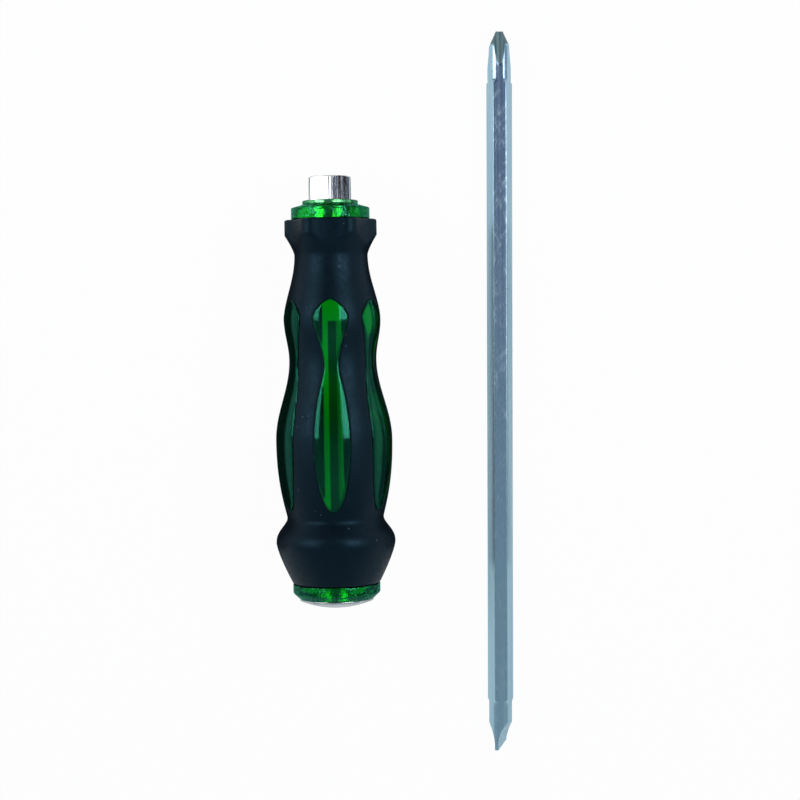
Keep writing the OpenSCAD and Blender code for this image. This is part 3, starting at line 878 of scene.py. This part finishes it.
def socket_patch():
    """The sleeve's outline from the bore's mouth, back along the outside and through the bore. A ball breaks
    the nose's corners, as in the solid."""
    angle = around(SOCKET_COLUMNS)
    nose = soft_hexagon_r(NOSE_FLAT, angle)
    corner_r = NOSE_FLAT / math.cos(TURN / 2)
    round_back = 2 * corner_r - 1.5 * NOSE_BEVEL
    round_r = math.hypot(corner_r - 2 * NOSE_BEVEL, round_back)
    front_z = nose_z - np.linspace(0, FRONT_SPAN, FRONT_ROWS)[:, None] ** FRONT_POWER
    front = soft_min(nose, np.sqrt(round_r ** 2 - (front_z - nose_z + round_back) ** 2), FRONT_SOFT)
    ball_z = disc_z - BALL_BACK
    circle = 0 * angle
    sleeve = hexagon_r(SLEEVE_R * math.cos(TURN / 2), angle)
    bore = hexagon_r(BORE_FLAT, angle)
    mouth = circle + BORE_FLAT / math.cos(TURN / 2) + LEAD
    rows = [
        (nose_z, mouth), *zip(front_z[:, 0], front), (disc_z + BACK_BREAK, nose), (disc_z, nose - BACK_DROP),
        (disc_z, circle + RELIEF_R), (seat_z, circle + RELIEF_R), (seat_z, circle + SLEEVE_R),
        (ball_z + GROOVE_HALF, circle + SLEEVE_R), (ball_z + GROOVE_HALF, circle + GROOVE_R),
        (ball_z - GROOVE_HALF, circle + GROOVE_R), (ball_z - GROOVE_HALF, circle + SLEEVE_R),
        (round_z, circle + SLEEVE_R), (round_z, sleeve), (sleeve_z, sleeve), (sleeve_z, bore),
        (nose_z - LEAD, bore), (nose_z, mouth)]
    z = np.array([row[0] for row in rows])[:, None]
    return on_handle(z, np.concatenate([np.reshape(row[1], (1, -1)) for row in rows]), angle)


make_piece("socket_plated", [socket_patch()], "handle", "bright_steel", bright_plate, "hex_socket")

# %% The cap and the strike bar
DOME_H, CAP_ROUND = 2.0, 0.3
DOME_ROWS, EDGE_RISE, EDGE_ROUND = 16, 0.05, 0.15
TURNED_COLUMNS = 96
TINY = 1e-6


def turned(outline):
    """An outline of (radius, station) pairs carried round the axis."""
    outline = np.asarray(outline, dtype=float)
    return on_handle(outline[:, 1:], outline[:, :1], around(TURNED_COLUMNS))


def cap_outline():
    """A ball-shaped dome, a straight edge with a broken corner, the underside and the stem."""
    dome_r = (CAP_R ** 2 + DOME_H ** 2) / (2 * DOME_H)
    lean = np.linspace(0, math.asin((CAP_R - CAP_ROUND) / dome_r), DOME_ROWS)
    dome = np.column_stack([dome_r * np.sin(lean), dome_r * (1 - np.cos(lean))])
    edge = rounded([dome[-1], (CAP_R, DOME_H - EDGE_RISE), (CAP_R, tail_z), (STEM_R, tail_z),
                    (STEM_R, stem_end_z), (0, stem_end_z)], EDGE_ROUND)
    return np.concatenate([dome[:-1], edge])


make_piece("cap_domed", [turned(cap_outline())], "handle", "bright_steel", cap_plate, "strike_cap")


def flat_bar_patch():
    """A flat bar on edge: at each angle the nearer of its pairs of sides, closed by a pole at each end."""
    corner = math.atan2(BAR_HALF_X, BAR_HALF_Z)
    angle = np.array([0, corner, math.pi / 2, math.pi - corner, math.pi, math.pi + corner, 1.5 * math.pi,
                      2 * math.pi - corner, 2 * math.pi])[None, :]
    aside, upward = np.maximum(np.abs([np.sin(angle), np.cos(angle)]), TINY)
    side = np.minimum(BAR_HALF_X / aside, BAR_HALF_Z / upward)
    z = np.array([bar_z, bar_z, anvil_z, anvil_z])[:, None]
    return on_handle(z, np.concatenate([0 * side, side, side, 0 * side]), angle)


make_piece("bar_flat", [flat_bar_patch()], "handle", "inner_steel", bar_steel, "strike_bar")

# %% [markdown]
# The detent
#
# A ball and an open spring ring hold the blade in the socket. They sit inside the nose and show only through
# the bore and dimly through the plastic, and their solids are already right. They stay, and only take the
# bar's steel.

# %% Dress the detent
for node in ("detent_ball", "detent_spring"):
    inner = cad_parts[node].data
    inner.materials.clear()
    inner.materials.append(bar_steel)
    print(node, "faces:", len(inner.polygons))

# %% [markdown]
# The blade
#
# The blade is a drawn hexagon bar with two turned ends. The cross tip has four flutes, and the slotted tip
# two ground faces. Cutting these with booleans would leave long thin triangles. Seen from the axis, though,
# a cut only limits how far the steel reaches, so the whole blade is one formula: at each station and angle,
# the radius is the smallest of what the hexagon, the turning, the flutes and the grinding leave.

# %% The blade's measure
BLADE_LEN = 193.6
BLADE_TURN = math.radians(0.7)
HEX_FLAT, HEX_CORNER_R, HEX_SOFT = 3.0, 3.43, 0.015
CROSS_END, CROSS_NECK_R, CONE_R, CONE_LEN, TIP_R = 14.0, 3.15, 3.1, 4.0, 1.22
FLUTE_LEN, FLUTE_ROOT, FLUTE_CUT_R, FLUTES = 9.9, 0.75, 1.5, 4
SLOT_END, SLOT_R, GRIND_LEN, GRIND_BACK, SLOT_T = 13.8, 3.08, 7.7, 1.2, 1.0
WORN_LEN, WORN_R = 1.0, 2.95
SLANT, SLANT_FROM, SLANT_LEN = 0.75, 0.9, 3.2
SLOT_ROLL, LEAST_COSINE = math.radians(65), 1e-3
SHOULDER, LINE_DEEP, LINE_WIDE = 0.8, 0.15, 0.3
FIRST_STEP, BLADE_COLUMNS = 0.05, 48 * SIDES

blade_x = (blade_low.x + blade_high.x) / 2 / MM
cross_z = BLADE_LEN - CROSS_END
print("blade length in mm:", BLADE_LEN, "middle at x in mm:", round(blade_x, 2))


def on_blade(z, r, angle):
    """Points at station z from the slotted end, at distance r from the blade's axis and an angle from up."""
    z, r, angle = np.broadcast_arrays(z, r, angle)
    along, side = z - BLADE_LEN / 2, r * np.sin(angle)
    x = blade_x + along * math.sin(BLADE_TURN) + side * math.cos(BLADE_TURN)
    y = along * math.cos(BLADE_TURN) - side * math.sin(BLADE_TURN)
    return np.stack([x, y, blade_axis_z + r * np.cos(angle)], axis=-1)


# %% What each cut leaves of the blade
def turned_r(z):
    """Radius that the turning leaves: worn corners and a straight stretch at the slotted end, a taper and a
    cone at the cross tip. A fine groove ends the turning at the cross end's shoulder."""
    cross_line = cross_z + SHOULDER
    stations = [0, WORN_LEN, SLOT_END - SHOULDER, SLOT_END,
                cross_z, cross_line, cross_line + LINE_WIDE, BLADE_LEN - CONE_LEN, BLADE_LEN]
    radii = [WORN_R, SLOT_R, SLOT_R, HEX_CORNER_R,
             HEX_CORNER_R, CROSS_NECK_R - LINE_DEEP, CROSS_NECK_R, CONE_R, TIP_R]
    return np.interp(z, stations, radii)


def flute_r(z, angle):
    """Radius that the flutes leave: the near side of a round cut whose root rises along the neck."""
    root = FLUTE_ROOT + (BLADE_LEN - z) * (CONE_R - FLUTE_ROOT) / FLUTE_LEN
    facing = to_nearest(angle, 2 * math.pi / FLUTES)
    middle = root + FLUTE_CUT_R
    inside = FLUTE_CUT_R ** 2 - (middle * np.sin(facing)) ** 2
    return np.where(inside > 0, middle * np.cos(facing) - np.sqrt(np.maximum(inside, 0)), FAR)


def grind_r(z, angle):
    """Radius that the hollow grinding leaves: half the tip's thickness, growing along a wheel's circle."""
    run, rise = GRIND_LEN - GRIND_BACK, SLOT_R - SLOT_T / 2
    wheel_r = (run ** 2 + rise ** 2) / (2 * rise)
    half = SLOT_T / 2 + wheel_r - np.sqrt(np.maximum(wheel_r ** 2 - (z - GRIND_BACK) ** 2, 0))
    return half / np.maximum(np.abs(np.cos(angle - SLOT_ROLL)), LEAST_COSINE)


def blade_patch():
    """The smallest radius that the cuts leave on a fine grid, closed by a pole at each end. Wear has pushed
    the slotted end back, in proportion to how far a point lies to one side and less along the tip."""
    slot_line, cross_line, cone_z = SLOT_END - SHOULDER, cross_z + SHOULDER, BLADE_LEN - CONE_LEN
    ground_z, fluted_z = GRIND_LEN + 1, BLADE_LEN - FLUTE_LEN
    z = np.concatenate([
        [0, 0], stretch(FIRST_STEP, ground_z, 44), stretch(ground_z, slot_line, 5),
        stretch(slot_line, SLOT_END, 7), stretch(SLOT_END, cross_z, 12), stretch(cross_z, cross_line, 7),
        stretch(cross_line, cross_line + LINE_WIDE, 4), stretch(cross_line + LINE_WIDE, fluted_z, 8),
        stretch(fluted_z, cone_z, 36), np.linspace(cone_z, BLADE_LEN, 36), [BLADE_LEN]])[:, None]
    angle = around(BLADE_COLUMNS)
    bar = soft_min(hexagon_r(HEX_FLAT, angle), HEX_CORNER_R + 0 * angle, HEX_SOFT)
    r = np.minimum(np.minimum(bar, turned_r(z)), np.minimum(flute_r(z, angle), grind_r(z, angle)))
    r[[0, -1]] = 0
    worn = SLANT * np.maximum(r * np.sin(angle) + SLANT_FROM, 0) * np.maximum(1 - z / SLANT_LEN, 0)
    return on_blade(z + worn, r, angle)


make_piece("blade_bar", [blade_patch()], "blade", "blade_steel", blade_plate, "blade")

# %% [markdown]
# The floor and the light
#
# The tool lies on a plain white floor. Two long soft boxes hang ahead of it on either side, and between them
# it is dimmer, which draws the bright bands along the rubber and the dark bar in the windows. The floor is
# lit like the tool and keeps its shadow, and a share of plain white lifts it to paper white for the camera.
# Mirrors beside the grip see it dim, and the plastic sees it white only along a line under the core and
# beyond the grip's ends. The line under the core is a painted strip of light.

# %% The floor's finish
FLOOR_WHITE, FLOOR_MIRRORED, FLOOR_THROUGH = 0.97, 0.1, 0.8
PAPER_LOW, PAPER_HIGH = (0.84, 0.85, 0.86, 1), (0.87, 0.88, 0.89, 1)
PAPER_SHADED = (0.05, 0.06, 0.06, 1)
NEAR_FROM, NEAR_TO = 10.0, 14.0
SHADE_FROM, SHADE_TO = 58.0, 80.0
GLOW_FROM, GLOW_TO, GLOW_SHIFT = 2.0, 2.8, -0.1
END_FADE = 2.0


def beyond_ends(y):
    """1 on the floor beyond the grip's ends and 0 between them."""
    half = (grip_high.y - grip_low.y) / 2
    away = off_middle(y, (grip_low.y + grip_high.y) / 2)
    return spread(away, half - END_FADE * MM, half)


def shaded_share(path, ends):
    """1 for mirrors beside the grip: rays of a middling length that meet the floor between its ends."""
    near = spread(path["Ray Length"], NEAR_FROM * MM, NEAR_TO * MM)
    far = spread(path["Ray Length"], SHADE_FROM * MM, SHADE_TO * MM, 1.0, 0.0)
    beside = spread(math_node("SUBTRACT", path["Is Glossy Ray"], ends), 0.0, 1.0)
    return times(beside, times(near, far))


def white_share(path, x, ends, shade):
    """How much even white the floor shows to the camera and to mirrors, and through the plastic: a painted
    strip of light along a line under the core, and even white beyond the grip's ends.
    """
    mirrored = times(math_node("SUBTRACT", path["Is Glossy Ray"], shade), FLOOR_MIRRORED)
    # Painted light: a bright strip of floor under the core, seen only by rays through the plastic.
    aside = off_middle(x, (AXIS_X + GLOW_SHIFT) * MM)
    under = spread(aside, GLOW_FROM * MM, GLOW_TO * MM, FLOOR_THROUGH, 0.0)
    under = math_node("MAXIMUM", under, times(ends, FLOOR_THROUGH))
    through = times(path["Is Transmission Ray"], under)
    seen = math_node("MAXIMUM", path["Is Camera Ray"], math_node("MAXIMUM", through, mirrored))
    return times(seen, FLOOR_WHITE)


def make_paper():
    """Matt white paper with a faint mottle, mixed with even white."""
    material, tree, shader, place = start_finish("floor_paper")
    grain = use_group(moulded_grain, place, Scale=300.0)
    path = add_node(tree, "ShaderNodeLightPath").outputs
    spot = split(place)
    ends = beyond_ends(spot["Y"])
    shade = shaded_share(path, ends)
    paper = blend(grain["Patches"], PAPER_LOW, PAPER_HIGH)
    link_to(shader, Base_Color=blend(shade, paper, PAPER_SHADED))
    shader.inputs["Roughness"].default_value = 0.9
    shader.inputs["Specular IOR Level"].default_value = 0.1
    white = add_node(tree, "ShaderNodeEmission", {"Color": (1, 1, 1, 1), "Strength": 1.0})
    show(mix_shaders(white_share(path, spot["X"], ends, shade), shader, white))
    return material


floor_paper = make_paper()
print("finish:", floor_paper.name)

# %% The floor
FLOOR_HALF = 2500.0


def make_floor():
    """One flat square cell below the tool."""
    mesh = bpy.data.meshes.new("floor")
    side = np.array([-FLOOR_HALF, FLOOR_HALF])
    x, y = np.meshgrid(side, side)
    fill_mesh(mesh, [np.stack([x, y, 0 * x], axis=-1)])
    mesh.materials.append(floor_paper)
    floor = add_object("floor", mesh)


make_floor()
print("floor ready")

# %% The soft boxes
BOX_DISTANCE = 700.0
BOX_LENGTH = 420.0
BOX_AHEAD = 225.0
# Angle from straight up, width and radiance of the box on each side
SOFT_BOXES = {"box_left": (-48.0, 455.0, 2.8), "box_right": (35.0, 425.0, 4.0)}


def hang_box(name, angle, width, radiance):
    """An area light at an angle from straight up, turned to the handle and ahead of it, of a brightness."""
    light = bpy.data.lights.new(name, "AREA")
    light.shape = "RECTANGLE"
    light.size, light.size_y = width * MM, BOX_LENGTH * MM
    light.energy = radiance * math.pi * light.size * light.size_y
    box = add_object(name, light)
    lean = math.radians(angle)
    box.location = (BOX_DISTANCE * MM * math.sin(lean), BOX_AHEAD * MM, BOX_DISTANCE * MM * math.cos(lean))
    box.rotation_euler = (0.0, lean, 0.0)
    print(name, "power in W:", round(light.energy, 2))


for name, values in SOFT_BOXES.items():
    hang_box(name, *values)

# %% The room
HORIZON, HORIZON_SPAN = (0.65, 0.75, 0.80, 1), (0.1, 0.3)
AHEAD, AHEAD_SPAN = (0.015, 0.02, 0.035, 1), (0.15, 0.55)
OVERHEAD = (0.06, 0.09, 0.16, 1)
BEHIND, BEHIND_SPAN = (0.30, 0.37, 0.40, 1), (-0.3, 0.1)


def make_room():
    """A room that is dark ahead, dim overhead, lighter behind and bright along the horizon, and plain white
    to the camera."""
    world = bpy.data.worlds.new("studio")
    world.use_nodes = True
    tree = world.node_tree
    toward = split(add_node(tree, "ShaderNodeTexCoord").outputs["Generated"])
    color = blend(spread(toward["Y"], *BEHIND_SPAN), BEHIND, OVERHEAD)
    color = blend(spread(toward["Y"], *AHEAD_SPAN), color, AHEAD)
    color = blend(spread(toward["Z"], *HORIZON_SPAN), HORIZON, color)
    seen = add_node(tree, "ShaderNodeLightPath").outputs["Is Camera Ray"]
    color = blend(seen, color, (1, 1, 1, 1))
    tree.links.new(color, tree.nodes["Background"].inputs["Color"])
    bpy.context.scene.world = world


make_room()
print("room ready")
